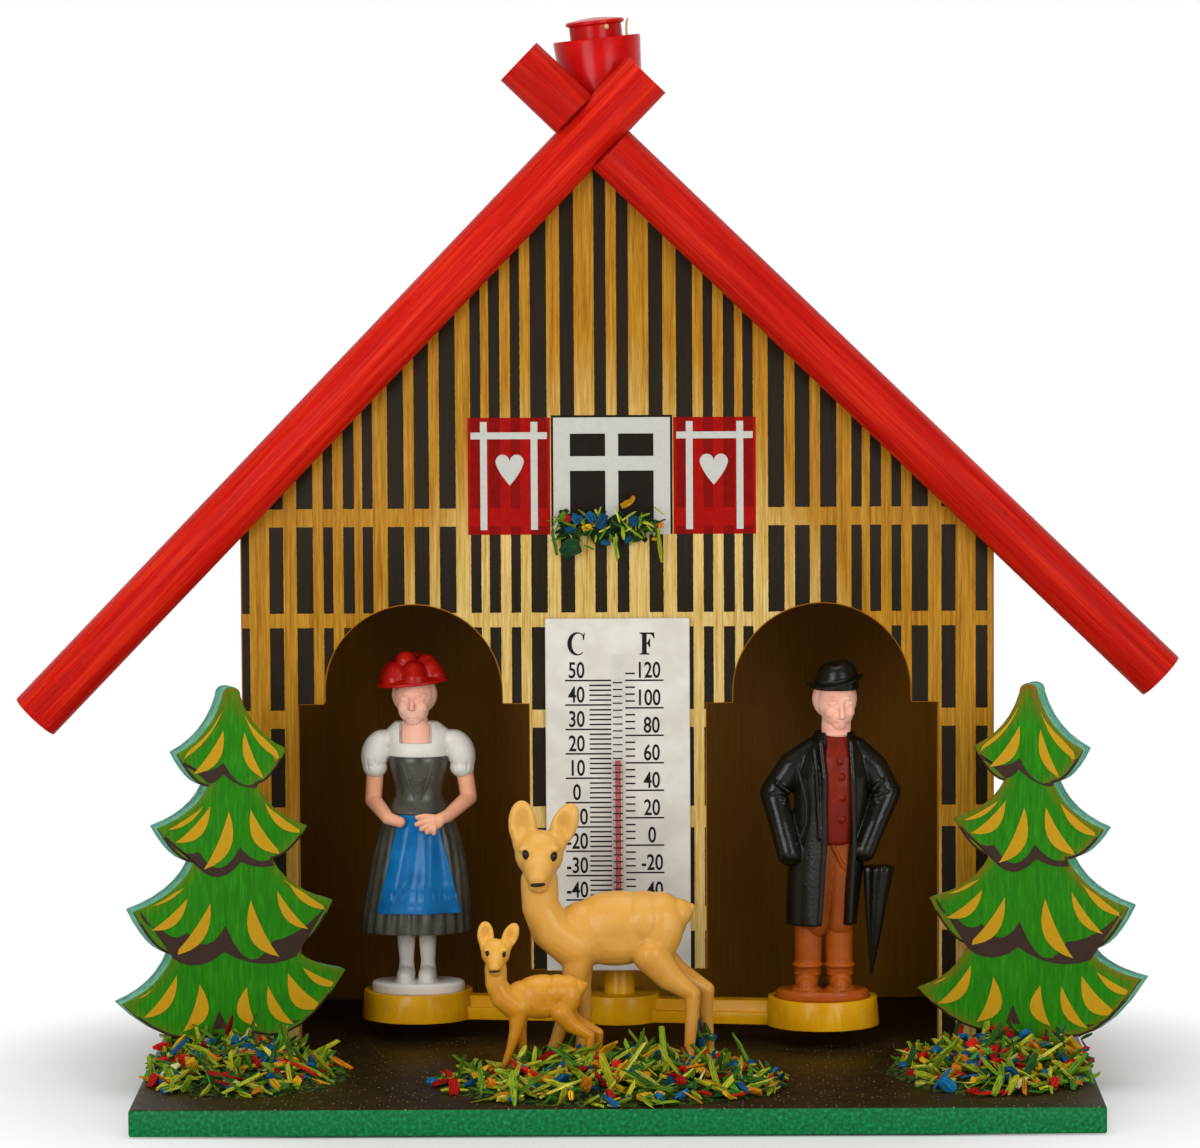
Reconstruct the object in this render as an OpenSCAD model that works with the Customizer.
// Weather house. Two figures stand on an arm that hangs by a length of gut under the ridge.
// Damp air lets the gut untwist and dry air winds it up, so the arm turns, and one figure
// comes out of its doorway as the other goes in. The chimney is the knob that sets the arm.
// Millimetres, +Z up, front towards -Y, origin at the middle of the plate's underside.

/* [Plate] */
// Width of the plate
plate_w = 115; // [112:1:130]
// Depth of the plate
plate_d = 90; // [88:1:100]
// Thickness of the plate
plate_t = 3.2; // [2.4:0.1:6]
// Depth of the yard in front of the house
yard_d = 47; // [46:0.5:48]

/* [House] */
// Width of the house over its side walls
house_w = 93.3; // [90:0.1:98]
// Depth of the house over its front and back walls
house_d = 40; // [39:0.5:43]
// Thickness of the walls
wall_t = 3; // [2:0.25:4]
// Height of the gable's peak above the plate
peak_h = 111.4; // [105:0.2:120]
// Slope of the left roof
left_pitch = 46; // [43:0.5:48]
// Slope of the right roof
right_pitch = 44; // [43:0.5:48]
// Shift of the gable's peak to the left of the house's middle
peak_left = 2.7; // [0:0.1:3.5]

/* [Doorways] */
// Width of a doorway below its shoulders
door_w = 28.7; // [27:0.1:30]
// Height of the doorways' shoulders above the plate
shoulder_h = 42.7; // [41:0.1:48]
// Radius of the doorways' arches
arch_r = 11; // [10:0.1:13]
// Straight rise of an arch's sides above the shoulders
arch_rise = 1.4; // [0:0.1:3]
// Width of the panel between the doorways
panel_w = 22; // [20:0.1:24]
// Height of the slot under that panel
slot_h = 9.4; // [8:0.1:11]

/* [Roof] */
// Thickness of the roof boards
board_t = 3; // [2:0.25:4]
// Length of the roof boards down the slope
board_len = 95; // [80:1:97]
// Overhang of the roof boards behind the back wall
board_over = 2; // [0:0.5:6]
// Width of the half-round rods
rod_w = 6.4; // [5.4:0.1:8]
// Depth of the rods, front to back
rod_t = 4.5; // [4.2:0.1:6]
// Length of the rods below their crossing
rod_len = 98.5; // [90:0.5:105]
// Length of the rods above their crossing
rod_over = 11.2; // [8:0.2:14]
// Distance up the slope by which the right rod is set higher than the left
right_rod_up = 2.8; // [0:0.1:3.5]
// Clearance in the rods' lap joint
lap_gap = 0.05; // [0.02:0.01:0.2]

/* [Chimney] */
// Diameter of the cup at its foot
cup_foot_d = 9.6; // [8.8:0.1:11]
// Diameter of the cup at its rim
cup_rim_d = 10.9; // [9.8:0.1:13]
// Height of the cup
cup_h = 8.8; // [7.5:0.1:11]
// Thickness of the cup's rim
cup_wall = 0.9; // [0.6:0.1:1.2]
// Depth of the hollow inside the rim
cup_hollow = 1.6; // [0.8:0.1:2.4]
// Diameter of the plug
plug_d = 6.5; // [5.5:0.1:7]
// Width by which the plug's lip stands out all round
plug_lip = 0.4; // [0.2:0.05:0.6]
// Height of the plug above the cup's rim
plug_h = 2.6; // [1.8:0.1:4]
// Depth of the plug's socket below the hollow
plug_seat = 3; // [2:0.1:3.6]
// Diameter of the stem
stem_d = 3.2; // [2.6:0.1:3.6]
// Length of the stem below the ridge block
stem_end = 1.6; // [1:0.1:4]
// Depth of the stem's seat in the cup
stem_seat = 1.8; // [1:0.1:2.2]
// Clearance between the cup and the roof's ridge
cup_gap = 0.5; // [0.4:0.05:0.8]
// Angle by which the cup and the plug sit askew on the stem
cup_cant = 5.1; // [0:0.1:6]
// Radial running clearance of the stem in its block
stem_gap = 0.05; // [0.02:0.01:0.1]
// Lean of the chimney and the gut to the left
axis_lean = 0.8; // [0:0.1:2]
// Width of the ridge block
block_w = 18; // [14:0.5:24]
// Height of the ridge block below the peak
block_h = 12.4; // [11:0.2:18]
// Depth of the ridge block, front to back
block_d = 10; // [7:0.5:16]

/* [Thermometer] */
// Width of the card
card_w = 17.9; // [16:0.1:19.5]
// Height of the card
card_h = 44; // [40:0.1:46]
// Thickness of the card
card_t = 0.8; // [0.5:0.1:1.2]
// Diameter of the glass tube
tube_d = 1.4; // [1.2:0.05:2]
// Distance of the tube's top below the card's top
tube_top = 4.4; // [3:0.1:6]
// Distance of the bulb's foot above the card's foot
bulb_foot = 2; // [1:0.1:4]
// Diameter of the bulb
bulb_d = 2.6; // [2.2:0.1:3]
// Diameter of the spirit column
column_d = 0.7; // [0.5:0.05:0.8]
// Distance of the column's top below the card's top
column_top = 17.6; // [10:0.1:35]

/* [Figure arm] */
// Distance of the arm's axis behind the front wall
axis_set = 3; // [2.6:0.1:4]
// Turn of the arm in the position drawn
rest_turn = -8; // [-12:1:12]
// Height of the arm's underside above the plate
arm_clear = 2.2; // [1.9:0.1:3]
// Diameter of the discs that carry the figures
disc_d = 14.2; // [13.4:0.1:15]
// Height of the discs and the hub
disc_h = 3.5; // [3:0.1:4.5]
// Depth of the figures' seats in the discs
seat_depth = 0.4; // [0.2:0.1:0.8]
// Clearance round a figure's foot in its seat
seat_gap = 0.15; // [0.1:0.05:0.3]
// Diameter of the hub
hub_d = 10; // [8:0.1:11]
// Diameter of the post
post_d = 3.8; // [3:0.1:4.6]
// Height of the post above the hub
post_h = 16; // [12:0.5:24]
// Width of the bars' lower flange
flange_w = 4.4; // [3.6:0.1:6]
// Height of that flange
flange_h = 1.5; // [1:0.1:1.8]
// Width of the bars' upper rib
rib_w = 2.6; // [1.6:0.1:3.4]
// Height of that rib
rib_h = 1.4; // [0.8:0.1:1.4]
// Diameter of the gut
gut_d = 0.8; // [0.6:0.05:1]
// Depth to which the gut goes into the post and the stem
gut_hold = 6; // [4:0.5:9]
// Radial clearance of the gut in its holes
gut_gap = 0.04; // [0.02:0.01:0.08]

/* [Woman] */
// Width of the oval foot
woman_foot_w = 11.7; // [10:0.1:12.4]
// Depth of the oval foot
woman_foot_d = 8.6; // [7:0.1:10]
// Thickness of the foot
woman_foot_t = 1.5; // [1:0.1:2]
// Height of the skirt's hem
woman_hem_h = 7.1; // [6:0.1:9]
// Width of the skirt at its hem
woman_hem_w = 13.4; // [12:0.1:14]
// Height of the waist
woman_waist_h = 22.7; // [21.5:0.1:24]
// Width of the waist
woman_waist_w = 7; // [6.4:0.1:7.4]
// Height of the bodice's top
woman_bodice_h = 29.5; // [28.8:0.1:30.2]
// Height of the blouse's neckline
woman_neckline_h = 31.2; // [30.8:0.1:31.8]
// Height of the hat's brim
woman_brim_h = 38.7; // [38:0.1:40]
// Width of the hat's brim
woman_brim_w = 9; // [8:0.1:10]
// Diameter of the hat's round tufts
tuft_d = 3.5; // [3:0.1:4]
// Height of the apron's hem
apron_hem_h = 10.1; // [9.4:0.1:13]
// Width of the apron at its hem
apron_hem_w = 10; // [8:0.1:11]
// Width of the apron at the waist
apron_top_w = 4.8; // [4:0.1:6]
// Thickness of the apron
apron_t = 0.5; // [0.4:0.05:0.8]

/* [Man] */
// Width of the oval foot
man_foot_w = 11.6; // [10:0.1:12.4]
// Depth of the oval foot
man_foot_d = 8.8; // [7:0.1:10]
// Thickness of the foot
man_foot_t = 1.6; // [1:0.1:2]
// Height of the boots' tops
boot_h = 9.2; // [8:0.1:9.6]
// Height of the coat's hem
coat_hem_h = 9.8; // [9.7:0.1:12]
// Thickness of the coat's cloth
coat_t = 0.8; // [0.6:0.05:1]
// Width of the coat's opening in front
coat_open_w = 3.4; // [2.8:0.1:4]
// Height of the vest's lower edge
vest_h = 19.9; // [18:0.1:21]
// Height of the collar
collar_h = 33; // [32.5:0.1:34]
// Height of the hat's brim
man_brim_h = 39.2; // [38.6:0.1:40]
// Width of the hat's brim
man_brim_w = 7.2; // [6.4:0.1:8]
// Height of the hat's crown
crown_h = 2.7; // [2:0.1:3.6]
// Length of the umbrella's cloth
umbrella_len = 13.4; // [11:0.1:13.8]
// Diameter of the furled umbrella at its top
umbrella_d = 3.3; // [2.8:0.1:3.4]

/* [Trees] */
// Height of a tree
tree_h = 46.4; // [44:0.2:52]
// Width of a tree over its lowest tier
tree_w = 29; // [25:0.2:30]
// Width of the trunk
trunk_w = 5; // [3:0.1:8]
// Height of the trunk under the branches
trunk_h = 3.6; // [3.2:0.1:5]
// Thickness of the sawn board
tree_t = 3; // [2:0.1:4]
// Radius of a tree's rounded tip
tip_r = 1.2; // [0.6:0.1:2]
// Distance of the left tree's middle from the plate's left side
left_tree_in = 9.9; // [7:0.1:12]
// Distance of the right tree's middle from the plate's right side
right_tree_in = 6.8; // [6:0.1:12]
// Distance of a tree's middle from the plate's front edge
tree_set = 35; // [33:0.5:36]
// Angle by which the trees are toed in
tree_turn = 22; // [10:1:30]

/* [Animals] */
// Height of the doe to the tips of its ears
doe_h = 33.4; // [30:0.2:35]
// Height of the fawn to the tips of its ears
fawn_h = 19.6; // [16:0.2:22]
// Distance of the doe from the plate's front edge
doe_set = 26.5; // [25:0.5:27]
// Distance of the fawn from the plate's front edge
fawn_set = 19.5; // [17:0.5:20]
// Shift of the doe to the left of the plate's middle
doe_left = 0.5; // [0:0.1:1.5]
// Shift of the fawn to the left of the doe
fawn_left = 8.9; // [6:0.1:12]

/* [Flower beds] */
// Width of the bed in the middle
mid_bed_w = 43; // [36:1:46]
// Depth of the bed in the middle
mid_bed_d = 31; // [26:1:32]
// Shift of that bed to the left of the plate's middle
mid_bed_left = 1; // [0:0.1:2]
// Width of a bed under a tree
side_bed_w = 25; // [20:0.5:25.5]
// Depth of a bed under a tree
side_bed_d = 35; // [28:0.5:36]
// Distance of a side bed's middle in front of its tree
bed_ahead = 10; // [8:0.5:12]
// Height of the beds
bed_h = 2.8; // [2:0.1:4]
// Width of the tuft under the window
tuft_row_w = 15; // [12:0.5:18]
// Height of the tuft under the window
tuft_row_h = 8.6; // [6:0.2:10]
// Depth of the tuft under the window
tuft_row_d = 2.6; // [1.6:0.1:4]
// Height of that tuft's middle above the plate
tuft_row_up = 64.2; // [63:0.2:66]
// Shift of that tuft to the left of the gable's middle
tuft_row_left = 1; // [0:0.1:3]

/* [Hidden] */
$fn = 48;
// Reach past a face of every cut that goes right through
through = 1;

// Places that several pieces share
front_y = -plate_d / 2 + yard_d;
room_y = front_y + wall_t;
back_y = front_y + house_d;
peak_z = plate_t + peak_h;
door_x = (panel_w + door_w) / 2;
panel_z = plate_t + slot_h;
axis_y = room_y + axis_set;
steeper = max(left_pitch, right_pitch);
cup_z = peak_z + board_t / cos(steeper) + cup_gap;
block_z = peak_z - block_h;
stem_z = block_z - stem_end;
socket_h = cup_h - cup_hollow - plug_seat;
arm_z = plate_t + arm_clear;
hub_z = arm_z + disc_h;
post_z = hub_z + post_h;
// The figures stand in the middle of their doorways in the position drawn
reach = door_x / cos(rest_turn);
seat_z = hub_z - seat_depth;
card_y = front_y - card_t;
// Room between the glass tube and the card, and between the column and the glass
tube_gap = 0.05;
tube_y = card_y - tube_d / 2 - tube_gap;
// Colours that several pieces share
red_paint = "#c8160f";
red_plastic = "#c40f10";
plywood = "#b0873e";
dark_stain = "#2d1b05";
flesh = "#eda595";

// A gable's slopes carry the roof, so these put a drawing on the slope of either side,
// X down the slope, Z square to it, Y to the back
module on_right_slope() {
    translate([-peak_left, 0, peak_z]) rotate([0, right_pitch, 0]) children();
}
module on_left_slope() {
    translate([-peak_left, 0, peak_z]) mirror([1, 0, 0]) rotate([0, left_pitch, 0]) children();
}

// The chimney and the gut share one axis, which leans and meets the arm's post at its top
module on_axis() {
    translate([0, axis_y, post_z]) rotate([0, -axis_lean, 0]) translate([0, 0, -post_z]) children();
}

// A flat outline in X and Z becomes a board of thickness t with its front face at y
module upright(y, t) { translate([0, y + t, 0]) rotate([90, 0, 0]) linear_extrude(t) children(); }

// An oval ring of points, with ripples round it as pleats or folds
function oval(z, w, d, x = 0, y = 0, sides = 24, folds = 0, ripple = 0) =
    [for (i = [0:sides - 1])
        let (a = 360 * i / sides, r = 1 + ripple * cos(folds * a))
        [x + w / 2 * r * cos(a), y + d / 2 * r * sin(a), z]];

// A skin over rings of equal count, closed by flat ends
module loft(rings) {
    n = len(rings[0]);
    last = (len(rings) - 1) * n;
    polyhedron(
        points = [for (r = rings) each r],
        faces = concat(
            [[for (i = [0:n - 1]) i]],
            [[for (i = [n - 1:-1:0]) last + i]],
            [for (j = [0:len(rings) - 2], i = [0:n - 1]) let (k = (i + 1) % n)
                [j * n + i, (j + 1) * n + i, (j + 1) * n + k]],
            [for (j = [0:len(rings) - 2], i = [0:n - 1]) let (k = (i + 1) % n)
                [j * n + i, (j + 1) * n + k, j * n + k]]
        ));
}

// Oval rings listed as [z, width, depth, x, y], on the side that x is turned to
function stack(rings, side = 1, sides = 24) =
    [for (r = rings) oval(r[0], r[1], r[2], side * r[3], r[4], sides)];

// The same rings with the first and the last moved out, for a hollow that is open at both ends
function past_ends(rings) = let (last = len(rings) - 1) [for (j = [0:last]) [for (p = rings[j])
    p + [0, 0, j == 0 ? -through : j == last ? through : 0]]];

// A round limb that tapers between two points
module limb(from, r_from, to, r_to) {
    hull() {
        translate(from) sphere(r_from, $fn = 12);
        translate(to) sphere(r_to, $fn = 12);
    }
}

// The plate and the walls

module base_plate() {
    color("#10703c") translate([-plate_w / 2, -plate_d / 2, 0]) cube([plate_w, plate_d, plate_t]);
}

module gable_outline() {
    half = house_w / 2;
    polygon([
        [-half, plate_t], [half, plate_t], [half, peak_z - (half + peak_left) * tan(right_pitch)],
        [-peak_left, peak_z], [-half, peak_z - (half - peak_left) * tan(left_pitch)]
    ]);
}

// One doorway: a wide lower part, shoulders, and a narrower arch on them
module doorway_outline() {
    arch_z = plate_t + shoulder_h + arch_rise;
    translate([-door_w / 2, plate_t - through]) square([door_w, shoulder_h + through]);
    translate([-arch_r, plate_t]) square([2 * arch_r, shoulder_h + arch_rise]);
    translate([0, arch_z]) circle(arch_r);
}

module front_wall() {
    color(plywood) upright(front_y, wall_t) difference() {
        gable_outline();
        for (side = [-1, 1]) translate([side * door_x, 0]) doorway_outline();
        translate([-door_x, plate_t - through]) square([2 * door_x, slot_h + through]);
    }
}

module back_wall() {
    color(dark_stain) upright(back_y - wall_t, wall_t) gable_outline();
}

// A side wall stands between front and back, its top cut to the slope that falls from the peak
module side_wall(pitch, peak_x) {
    outer = house_w / 2;
    inner = outer - wall_t;
    upright(room_y, house_d - 2 * wall_t) polygon([
        [inner, plate_t], [outer, plate_t],
        [outer, peak_z - (outer - peak_x) * tan(pitch)], [inner, peak_z - (inner - peak_x) * tan(pitch)]
    ]);
}

module left_side_wall() { color(dark_stain) mirror([1, 0, 0]) side_wall(left_pitch, peak_left); }

module right_side_wall() { color(dark_stain) side_wall(right_pitch, -peak_left); }

// The roof

// The way for the stem through the roof, from below the stem's end up into the cup
module stem_hole(radius) {
    on_axis() translate([0, 0, stem_z - through]) cylinder(r = radius, h = cup_z + cup_h - stem_z);
}

// One board, mitred at the ridge, with half of the hole for the chimney's stem
module roof_board(side) {
    mitre = 2 * board_t;
    stem_room = 0.4;
    difference() {
        if (side < 0) on_left_slope() board_blank(mitre);
        else on_right_slope() board_blank(mitre);
        translate([side < 0 ? -peak_left : -peak_left - 2 * mitre, front_y - through, peak_z - 2 * mitre])
            cube([2 * mitre, house_d + board_over + 2 * through, 4 * mitre]);
        stem_hole(stem_d / 2 + stem_room);
    }
}

module board_blank(mitre) {
    translate([-mitre, front_y, 0]) cube([mitre + board_len, house_d + board_over, board_t]);
}

module left_roof_board() { color("#7a1712") roof_board(-1); }

module right_roof_board() { color("#7a1712") roof_board(1); }

// A rod is flat behind and half round in front, and lies over the edge of its board, slid up it by up
module rod_blank(up) {
    r = rod_w / 2;
    translate([-rod_over - up, 0, board_t / 2]) rotate([90, 0, 90]) linear_extrude(rod_over + rod_len) {
        translate([front_y - rod_t + r, -r]) square([rod_t - r, rod_w]);
        intersection() {
            translate([front_y - rod_t + r, 0]) circle(r);
            translate([front_y - rod_t, -r]) square([r, rod_w]);
        }
    }
}

// What the lap joint takes from a rod: a band as wide as the other rod, from y to y + depth
module lap(y, depth) {
    band = rod_w + 2 * lap_gap;
    translate([-2 * rod_over, y, (board_t - band) / 2]) cube([4 * rod_over, depth, band]);
}

lap_y = front_y - rod_t / 2;

module left_roof_log() {
    color(red_paint) difference() {
        on_left_slope() rod_blank(0);
        on_right_slope() lap(lap_y - lap_gap / 2, rod_t);
    }
}

module right_roof_log() {
    color(red_paint) difference() {
        on_right_slope() rod_blank(right_rod_up);
        on_left_slope() lap(lap_y + lap_gap / 2 - rod_t, rod_t);
    }
}

// The block fills the peak behind the front wall and holds the stem
module ridge_block() {
    half = block_w / 2;
    color("#6b4a22") difference() {
        translate([-peak_left, 0, 0]) upright(room_y, block_d) polygon([
            [-half, block_z], [half, block_z], [half, peak_z - half * tan(right_pitch)],
            [0, peak_z], [-half, peak_z - half * tan(left_pitch)]
        ]);
        stem_hole(stem_d / 2 + stem_gap);
    }
}

// The chimney, which is the setting knob

// Fit of the plug and the stem in the cup
push_fit = 0.02;

// The cup was glued on askew, so it leans more than its stem
module askew() {
    on_axis() translate([0, 0, cup_z]) rotate([0, -cup_cant, 0]) children();
}

module chimney_cup() {
    color(red_plastic) difference() {
        askew() cylinder(d1 = cup_foot_d, d2 = cup_rim_d, h = cup_h);
        askew() translate([0, 0, cup_h - cup_hollow])
            cylinder(d = cup_rim_d - 2 * cup_wall - (cup_rim_d - cup_foot_d) * cup_hollow / cup_h,
                     h = cup_hollow + through);
        askew() translate([0, 0, socket_h]) cylinder(d = plug_d + 2 * push_fit, h = cup_h);
        on_axis() translate([0, 0, cup_z - through])
            cylinder(d = stem_d + 2 * push_fit, h = stem_seat + through);
    }
}

// A stopper with a rounded lip and a slightly domed top
module chimney_plug() {
    lip_r = plug_d / 2 + plug_lip;
    lip_t = 0.7;
    dome = 0.35;
    top = cup_h + plug_h;
    color(red_plastic) askew() rotate_extrude() polygon([
        [0, socket_h], [plug_d / 2, socket_h], [plug_d / 2, top - dome - lip_t],
        [lip_r, top - dome - lip_t * 0.8], [lip_r, top - dome - lip_t * 0.2],
        [lip_r - lip_t * 0.4, top - dome], [lip_r * 0.5, top - dome * 0.25], [0, top]
    ]);
}

module chimney_stem() {
    color("#8a6a3a") on_axis() difference() {
        translate([0, 0, stem_z]) cylinder(d = stem_d, h = cup_z + stem_seat - stem_z);
        translate([0, 0, stem_z - through]) cylinder(d = gut_d + 2 * gut_gap, h = gut_hold + through);
    }
}

// The thermometer on the panel

module thermometer_card() {
    color("#d6d1c7") translate([-card_w / 2, card_y, panel_z]) cube([card_w, card_t, card_h]);
}

module thermometer_tube() {
    tube_z = panel_z + bulb_foot;
    wall = (tube_d - column_d) / 2 - tube_gap;
    color("#dfe6e4") difference() {
        union() {
            translate([0, tube_y, tube_z]) cylinder(d = tube_d, h = card_h - tube_top - bulb_foot);
            translate([0, card_y - tube_gap - bulb_d / 2, tube_z + bulb_d / 2]) sphere(d = bulb_d);
        }
        translate([0, tube_y, tube_z + wall])
            cylinder(d = tube_d - 2 * wall, h = card_h - tube_top - bulb_foot - 2 * wall);
    }
}

module spirit_column() {
    wall = (tube_d - column_d) / 2 - tube_gap;
    foot = bulb_foot + wall + tube_gap;
    color("#c4202c") translate([0, tube_y, panel_z + foot])
        cylinder(d = column_d, h = card_h - column_top - foot);
}

// The trees, sawn from board

// A curve from a to c that leans towards b
function curve(a, b, c, steps = 6) =
    [for (i = [0:steps - 1]) let (t = i / steps)
        (1 - t) * (1 - t) * a + 2 * t * (1 - t) * b + t * t * c];

// Tips of the four tiers and the notches below them, as shares of the tree's width and height
tier_tips = [[0.49, 0.83], [0.67, 0.63], [0.89, 0.42], [1, 0.205]];
tier_notches = [[0.22, 0.74], [0.35, 0.54], [0.54, 0.3]];
function on_tree(share) = [share[0] * tree_w / 2, share[1] * tree_h];
// How much lower a tier's left tip hangs than its right tip, as a share of the tree's height
tier_sags = [0, -0.015, 0, 0.055];
// Where a tier's upper edge bends, as shares of its run and its fall
tier_bend = [0.25, 0.3];
// How far each tier's lower edge stays above its notch, as a share of its height: the lowest bellies down
tier_bellies = [0.05, 0.05, 0.05, -0.35];

// One half of a tree: each tier sweeps out to its tip and scoops back to the notch below
function tier_edge(start, tip, notch, belly) = concat(
    curve(start, [start[0] + (tip[0] - start[0]) * tier_bend[0], tip[1] + (start[1] - tip[1]) * tier_bend[1]],
          tip),
    curve(tip, [(tip[0] + notch[0]) / 2, notch[1] + (tip[1] - notch[1]) * belly], notch)
);

function half_tree(side) = [for (k = [0:len(tier_tips) - 1]) each tier_edge(
    k == 0 ? [tip_r, tree_h - tip_r] : on_tree(tier_notches[k - 1]),
    on_tree(tier_tips[k] + [0, side * tier_sags[k] / 2]),
    k == len(tier_notches) ? [trunk_w / 2, trunk_h] : on_tree(tier_notches[k]),
    tier_bellies[k]
)];

// Both trees are sawn to one pattern, and stand to the left (-1) and the right (1) of the house
module tree(side, in) {
    tip = curve([0, tree_h], [tip_r, tree_h], [tip_r, tree_h - tip_r], 4);
    foot = [[trunk_w / 2, trunk_h], [trunk_w / 2, 0]];
    right = concat(tip, half_tree(1), foot);
    left = concat(tip, half_tree(-1), foot);
    back_up = [for (i = [len(left) - 1:-1:1]) [-left[i][0], left[i][1]]];
    color("#1e8210") translate([side * (plate_w / 2 - in), -plate_d / 2 + tree_set, plate_t])
        rotate([0, 0, -side * tree_turn]) upright(-tree_t / 2, tree_t) polygon(concat(right, back_up));
}

module left_tree() { tree(-1, left_tree_in); }

module right_tree() { tree(1, right_tree_in); }

// The animals, drawn at the doe's size: nose to the left, standing on z = 0
module deer(h) {
    drawn_h = 33.4;
    scale(h / drawn_h) {
        limb([-4.3, 0, 16.8], 3.9, [2.6, 0, 18.4], 4.1);
        limb([2.6, 0, 18.4], 4.1, [6, 0, 17.2], 3.7);
        limb([-4.8, 0, 16], 3.7, [-7.6, -0.4, 20], 2.4);
        limb([-7.6, -0.4, 20], 2.4, [-8.9, -0.9, 25], 2.2);
        limb([-8.9, -1, 25.8], 2.5, [-9, -3.8, 23.6], 1.4);
        limb([-10.4, -0.2, 27.6], 0.9, [-11, 0.2, 31.4], 1.2);
        limb([-11, 0.2, 31.4], 1.2, [-10.8, 0.2, 33.1], 0.3);
        limb([-7.4, -0.2, 27.6], 0.9, [-5.8, 0.2, 31], 1.2);
        limb([-5.8, 0.2, 31], 1.2, [-5, 0.2, 32.8], 0.3);
        for (y = [-1.7, 1.7]) {
            limb([6, y, 16.6], 2.9, [8.2 + y / 2, y * 1.1, 12.6], 1.6);
            limb([8.2 + y / 2, y * 1.1, 12.6], 1.6, [10.9 + y / 2, y * 1.1, 9.8], 0.95);
            limb([10.9 + y / 2, y * 1.1, 9.8], 0.95, [9.6 + y / 2, y * 1.1, 0.75], 0.75);
            limb([-4.6, y, 14], 1.9, [-5.4 + y, y, 8.2], 0.95);
            limb([-5.4 + y, y, 8.2], 0.95, [-6.3 + y, y, 0.75], 0.75);
        }
        limb([9, 0, 19], 0.9, [10.6, 0, 17.2], 0.5);
    }
}

module doe() {
    color("#e1a555") translate([-doe_left, -plate_d / 2 + doe_set, plate_t]) deer(doe_h);
}

module fawn() {
    color("#d28c32") translate([-doe_left - fawn_left, -plate_d / 2 + fawn_set, plate_t]) deer(fawn_h);
}

// The flower beds: rough heaps of chips, drawn as a dome of uneven rings on a flat foot
module heap(w, d, h, seed) {
    n = 30;
    m = 6;
    rough = rands(0, 1, n * (m + 1), seed);
    function at(j, i) = let (t = j / m, a = 360 * i / n + 5 * j, k = rough[j * n + i], e = 0.9 + 0.1 * k)
        [w / 2 * t * e * cos(a), d / 2 * t * e * sin(a), j == m ? 0 : h * (1 - t * t) * (0.6 + 0.4 * k)];
    rings = [for (j = [m:-1:1]) [for (i = [0:n - 1]) at(j, i)]];
    top = m * n;
    polyhedron(
        points = concat([for (r = rings) each r], [[0, 0, h]]),
        faces = concat(
            [[for (i = [0:n - 1]) i]],
            [for (i = [0:n - 1]) [(m - 1) * n + i, top, (m - 1) * n + (i + 1) % n]],
            [for (j = [0:m - 2], i = [0:n - 1]) let (k = (i + 1) % n)
                [j * n + i, (j + 1) * n + i, (j + 1) * n + k]],
            [for (j = [0:m - 2], i = [0:n - 1]) let (k = (i + 1) % n)
                [j * n + i, (j + 1) * n + k, j * n + k]]
        ));
}

// Distance of the beds' feet from the plate's edges
bed_edge = 0.3;
mid_bed_y = -plate_d / 2 + bed_edge + mid_bed_d / 2;
side_bed_x = plate_w / 2 - bed_edge - side_bed_w / 2;
side_bed_y = -plate_d / 2 + tree_set - bed_ahead;

module left_flower_bed() {
    color("#5d7f1d") translate([-side_bed_x, side_bed_y, plate_t]) heap(side_bed_w, side_bed_d, bed_h, 3);
}

module centre_flower_bed() {
    color("#5d7f1d") translate([-mid_bed_left, mid_bed_y, plate_t])
        heap(mid_bed_w, mid_bed_d, bed_h, 5);
}

module right_flower_bed() {
    color("#5d7f1d") translate([side_bed_x, side_bed_y, plate_t]) heap(side_bed_w, side_bed_d, bed_h, 8);
}

module window_flowers() {
    color("#4d7a2a") translate([-tuft_row_left, front_y, plate_t + tuft_row_up]) rotate([90, 0, 0])
        heap(tuft_row_w, tuft_row_h, tuft_row_d, 11);
}

// The arm and the gut that it hangs by

module on_arm() { translate([0, axis_y, 0]) rotate([0, 0, rest_turn]) children(); }

module figure_arm() {
    draft = 0.3;
    color("#c8a014") difference() {
        on_arm() {
            translate([0, 0, arm_z]) cylinder(d = hub_d, h = disc_h);
            translate([0, 0, hub_z]) cylinder(d = post_d, h = post_h);
            translate([-reach, -flange_w / 2, arm_z]) cube([2 * reach, flange_w, flange_h]);
            translate([-reach, -rib_w / 2, arm_z]) cube([2 * reach, rib_w, flange_h + rib_h]);
            for (side = [-1, 1]) translate([side * reach, 0, arm_z])
                cylinder(d1 = disc_d, d2 = disc_d - 2 * draft, h = disc_h);
        }
        on_arm() for (side = [-1, 1]) translate([side * reach, 0, seat_z])
            cylinder(d = max(woman_foot_w, man_foot_w) + 2 * seat_gap, h = disc_h);
        on_axis() translate([0, 0, post_z - gut_hold])
            cylinder(d = gut_d + 2 * gut_gap, h = gut_hold + through);
    }
}

module gut_string() {
    color("#d9c9a0") on_axis() translate([0, 0, post_z - gut_hold])
        cylinder(d = gut_d, h = stem_z + gut_hold - (post_z - gut_hold), $fn = 24);
}

// A figure stands on its disc and faces the front in the position drawn
module figure(side) {
    on_arm() translate([side * reach, 0, seat_z]) rotate([0, 0, -rest_turn]) children();
}

// Every piece of a figure is drawn a little deeper than it is and pressed to this depth
figure_depth = 0.96;
module pressed() { scale([1, figure_depth, 1]) children(); }

// The oval foot that a figure stands on, with its upper edge eased
module foot(w, d, t) {
    ease = 0.3;
    loft([oval(0, w, d), oval(t - ease, w, d), oval(t, w - 2 * ease, d - 2 * ease)]);
}

// The woman

skirt_top = 0.3;

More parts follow.
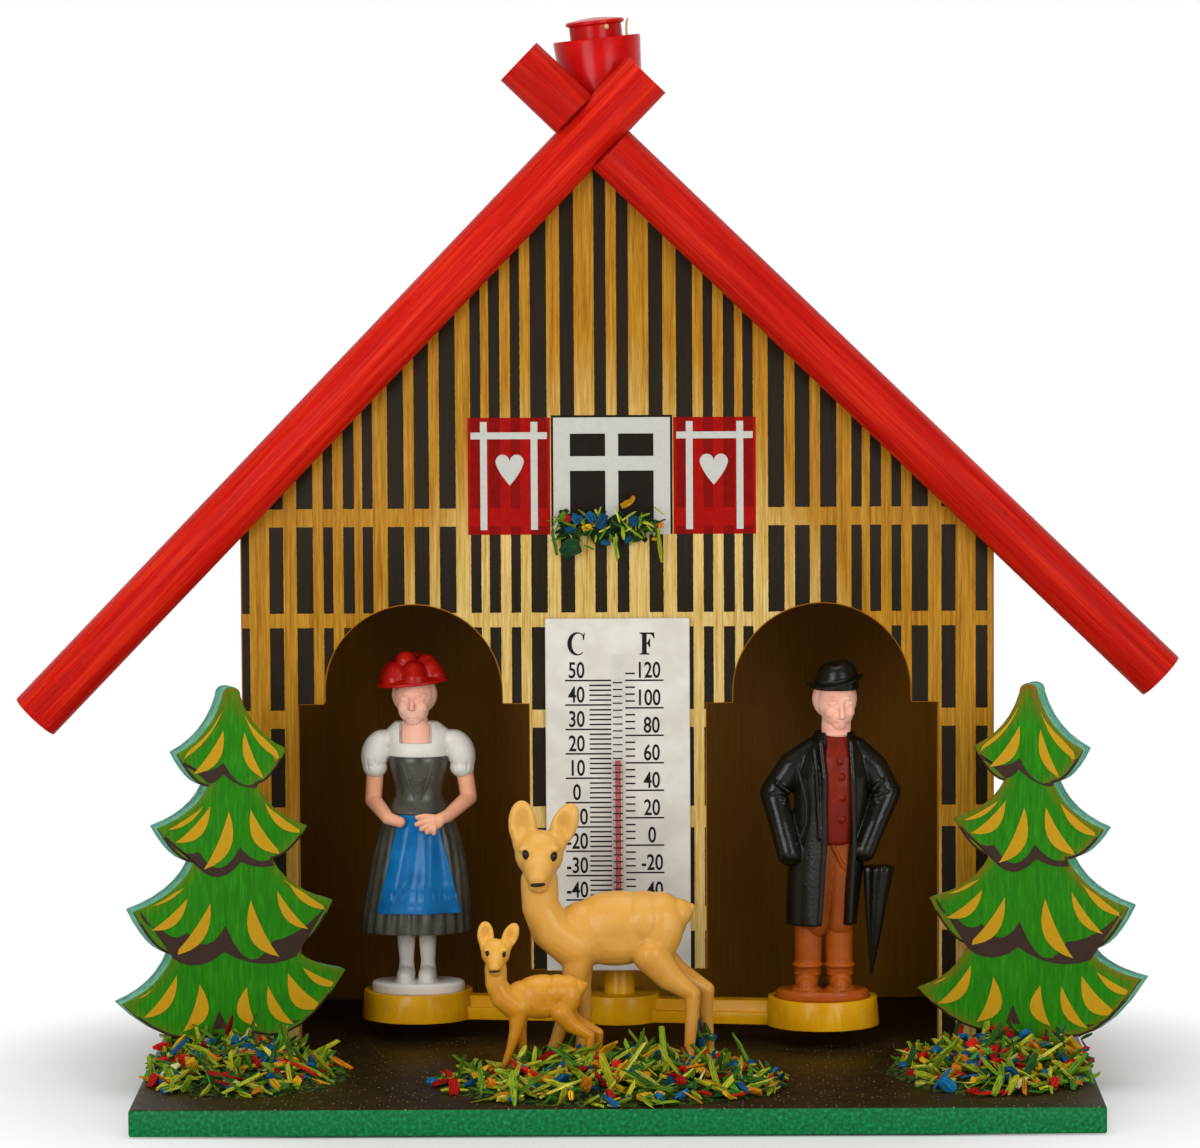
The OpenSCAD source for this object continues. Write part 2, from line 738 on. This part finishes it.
// Rings of the dress, grown all round by extra, with pleats in the skirt
function dress_rings(extra, pleat) = [
    for (ring = [
        [woman_hem_h, woman_hem_w, 10.2, 1], [woman_hem_h + 5, 12.2, 9.6, 1],
        [woman_waist_h - 5, 9.8, 8, 0.6], [woman_waist_h - skirt_top, woman_waist_w + 0.6, 6, 0],
        [woman_waist_h + 1, woman_waist_w, 5.7, 0], [woman_bodice_h - 2, woman_waist_w + 0.6, 6, 0],
        [woman_bodice_h, woman_waist_w + 0.5, 5.9, 0]
    ]) oval(ring[0], ring[1] + 2 * extra, ring[2] + 2 * extra, 0, 0, 48, 16, ring[3] * pleat)
];

module woman_legs() {
    sole = woman_foot_t;
    leg_x = 1.35;
    color("#d8d4cc") figure(-1) pressed() {
        foot(woman_foot_w, woman_foot_d, woman_foot_t);
        for (side = [-1, 1]) loft(stack([
            [sole, 2.4, 4.2, leg_x, -0.9], [sole + 1, 2.3, 3.4, leg_x, -0.6],
            [sole + 2, 1.9, 2.1, leg_x, 0], [woman_hem_h - 1, 2.5, 2.7, leg_x, 0.1],
            [woman_hem_h, 2.6, 2.8, leg_x, 0.1]
        ], side, 16));
    }
}

module woman_dress() {
    color("#282826") figure(-1) pressed() loft(dress_rings(0, 0.03));
}

// The apron lies on the front of the skirt
module woman_apron() {
    lie = 0.28;
    top_z = woman_waist_h - skirt_top;
    color("#1464a5") figure(-1) pressed() intersection() {
        difference() {
            loft(dress_rings(lie + apron_t, 0));
            loft(past_ends(dress_rings(lie, 0)));
        }
        upright(-woman_hem_w, woman_hem_w) polygon([
            [-apron_hem_w / 2, apron_hem_h], [apron_hem_w / 2, apron_hem_h],
            [apron_top_w / 2, top_z], [-apron_top_w / 2, top_z]
        ]);
    }
}

module woman_blouse() {
    z = woman_bodice_h;
    color("#ebe8e1") figure(-1) pressed() {
        loft([oval(z, 7.6, 6), oval(z + 0.6, 8.4, 6), oval(woman_neckline_h, 8.2, 5.4)]);
        for (side = [-1, 1]) loft(stack([
            [z - 2, 2.4, 2.8, 5.7, 0], [z - 1.4, 3, 3.8, 5.7, 0], [z + 0.6, 3.6, 4.6, 5.6, 0],
            [z + 2.4, 3.2, 4.2, 5.3, 0], [z + 3.6, 2.2, 3, 4.6, 0], [z + 4, 1.2, 1.6, 4.2, 0]
        ], side, 16));
    }
}

// Bare forearms, with the hands together in front of the apron
module woman_arms() {
    sleeve = [5.7, 0, woman_bodice_h - 2];
    elbow = [6.1, -0.6, woman_waist_h + 0.6];
    wrist = [2, -5.5, woman_waist_h - 1.8];
    fingers = [-1, -5.9, woman_waist_h - 2];
    color("#cd8269") figure(-1) pressed() {
        for (side = [0, 1]) mirror([side, 0, 0]) {
            hull() {
                translate(sleeve - [0, 0, 0.1]) cylinder(r = 1.1, h = 0.1, $fn = 12);
                translate(elbow) sphere(1.05, $fn = 12);
            }
            limb(elbow, 1.05, wrist, 0.85);
            limb(wrist, 0.95, fingers, 0.8);
        }
    }
}

module woman_head() {
    z = woman_neckline_h;
    color(flesh) figure(-1) pressed() loft(stack([
        [z, 6, 5, 0, 0], [z + 1.2, 5, 4.4, 0, 0], [z + 2, 2.9, 2.8, 0, 0], [z + 2.7, 2.8, 2.8, 0, 0],
        [z + 3.2, 3.4, 4.2, 0, -0.5], [z + 4.2, 4.6, 5.4, 0, -0.4], [z + 5.4, 5.1, 5.8, 0, -0.2],
        [woman_brim_h - 0.8, 5.2, 5.8, 0, 0], [woman_brim_h, 5, 5.4, 0, 0]
    ]));
}

// The hat's flat brim carries a ring of round woollen tufts
module woman_hat() {
    brim_t = 1;
    tufts = 7;
    crown_d = woman_brim_w - tuft_d;
    color("#af1419") figure(-1) translate([0, 0, woman_brim_h]) {
        cylinder(d1 = woman_brim_w - 0.8, d2 = woman_brim_w, h = brim_t);
        translate([0, 0, brim_t]) {
            cylinder(d = crown_d, h = tuft_d / 2);
            for (i = [0:tufts - 1]) rotate([0, 0, 360 * i / tufts])
                translate([crown_d / 2, 0, tuft_d * 0.4]) sphere(d = tuft_d, $fn = 24);
            translate([0, 0, tuft_d * 0.58]) sphere(d = tuft_d, $fn = 24);
        }
    }
}

// The man

man_leg_x = 1.9;

// The coat's rings, drawn in by t
function coat_rings(t) = [
    for (ring = [
        [coat_hem_h, 10.2, 8.2, 1], [vest_h, 10.6, 8.2, 0.4], [collar_h - 5, 11.2, 8, 0],
        [collar_h - 2, 10.6, 7.2, 0], [collar_h - 0.8, 8, 6, 0], [collar_h, 6, 5.2, 0]
    ]) oval(ring[0], ring[1] - 2 * t, ring[2] - 2 * t, 0, 0, 48, 12, ring[3] * 0.02)
];

module man_boots() {
    sole = man_foot_t;
    cuff = boot_h - 2.2;
    color("#87411a") figure(1) pressed() {
        foot(man_foot_w, man_foot_d, man_foot_t);
        for (side = [-1, 1]) loft(stack([
            [sole, 3.2, 5.6, man_leg_x, -0.9], [sole + 0.9, 3.1, 4.8, man_leg_x, -0.6],
            [sole + 1.8, 2.9, 3.3, man_leg_x, 0.1], [cuff - 0.2, 3.1, 3.4, man_leg_x, 0.2],
            [cuff, 3.5, 3.8, man_leg_x, 0.2], [boot_h - 0.6, 3.5, 3.8, man_leg_x, 0.2],
            [boot_h, 3.3, 3.6, man_leg_x, 0.2]
        ], side, 16));
    }
}

module man_trousers() {
    color("#a05a28") figure(1) pressed() for (side = [-1, 1]) loft(stack([
        [boot_h, 3.2, 3.4, man_leg_x, 0.2], [boot_h + 1.4, 3.5, 4, man_leg_x, 0.1],
        [vest_h - 3, 3.9, 4.8, man_leg_x, 0], [vest_h, 4, 5, man_leg_x, 0]
    ], side, 16));
}

module man_vest() {
    color("#641e14") figure(1) pressed() loft([
        oval(vest_h, 7.8, 5.4), oval(vest_h + 3, 7.6, 5.6), oval(collar_h - 4.5, 8.2, 5.7),
        oval(collar_h - 2, 7.6, 5), oval(collar_h - 0.8, 5.4, 4), oval(collar_h, 3.6, 3)
    ]);
}

// A long coat, open in front, with its sleeves' ends in the pockets
module man_coat() {
    shoulder = [4.3, 0, collar_h - 2.4];
    elbow = [7.3, 0.8, collar_h - 7.4];
    pocket = [4.9, -2.4, vest_h + 1.2];
    half = coat_open_w / 2;
    flare = 0.4;
    color("#191919") figure(1) pressed() difference() {
        union() {
            loft(coat_rings(0));
            for (side = [0, 1]) mirror([side, 0, 0]) {
                limb(shoulder, 1.7, elbow, 1.45);
                limb(elbow, 1.45, pocket, 1.35);
            }
        }
        loft(past_ends(coat_rings(coat_t)));
        upright(-man_foot_w, man_foot_w) polygon([
            [-half - flare, coat_hem_h - through], [half + flare, coat_hem_h - through],
            [half, vest_h], [half, collar_h + through], [-half, collar_h + through], [-half, vest_h]
        ]);
    }
}

module man_head() {
    z = collar_h;
    color(flesh) figure(1) pressed() loft(stack([
        [z, 3.2, 2.8, 0, 0], [z + 0.8, 3, 2.8, 0, 0], [z + 1.2, 3.4, 4, 0, -0.4],
        [z + 2, 4.4, 5.2, 0, -0.4], [z + 3.4, 5, 5.8, 0, -0.2],
        [man_brim_h - 0.8, 5.2, 5.8, 0, 0], [man_brim_h, 5, 5.6, 0, 0]
    ]));
}

module man_hat() {
    brim_t = 0.6;
    color("#161616") figure(1) translate([0, 0, man_brim_h]) {
        cylinder(d1 = man_brim_w, d2 = man_brim_w - 0.2, h = brim_t);
        translate([0, 0, brim_t]) cylinder(d1 = man_brim_w - 1.6, d2 = man_brim_w - 2.4, h = crown_h);
    }
}

// The furled umbrella hangs beside the coat, point down
module man_umbrella() {
    top = vest_h - 3.2;
    foot_z = top - umbrella_len;
    x = 7.1;
    handle_d = 0.8;
    handle_h = 5.5;
    color("#141414") figure(1) pressed() loft([
        for (ring = [
            [foot_z, 0.5, x - 1, 0], [foot_z + 1.6, 0.6, x - 0.9, 0], [foot_z + 2, 1.1, x - 0.9, 0],
            [top - 3, umbrella_d * 0.86, x - 0.2, 0.1], [top - 0.6, umbrella_d, x, 0.06],
            [top, umbrella_d * 0.6, x, 0], [top + 0.2, handle_d, x, 0], [top + handle_h, handle_d, x, 0]
        ]) oval(ring[0], ring[1], ring[1], ring[2], 0, 24, 6, ring[3])
    ]);
}

base_plate();
front_wall();
back_wall();
left_side_wall();
right_side_wall();
left_roof_board();
right_roof_board();
left_roof_log();
right_roof_log();
ridge_block();
thermometer_card();
thermometer_tube();
spirit_column();
left_tree();
right_tree();
doe();
fawn();
left_flower_bed();
centre_flower_bed();
right_flower_bed();
window_flowers();
chimney_cup();
chimney_plug();
chimney_stem();
gut_string();
figure_arm();
woman_legs();
woman_dress();
woman_apron();
woman_blouse();
woman_arms();
woman_head();
woman_hat();
man_boots();
man_trousers();
man_vest();
man_coat();
man_head();
man_hat();
man_umbrella();
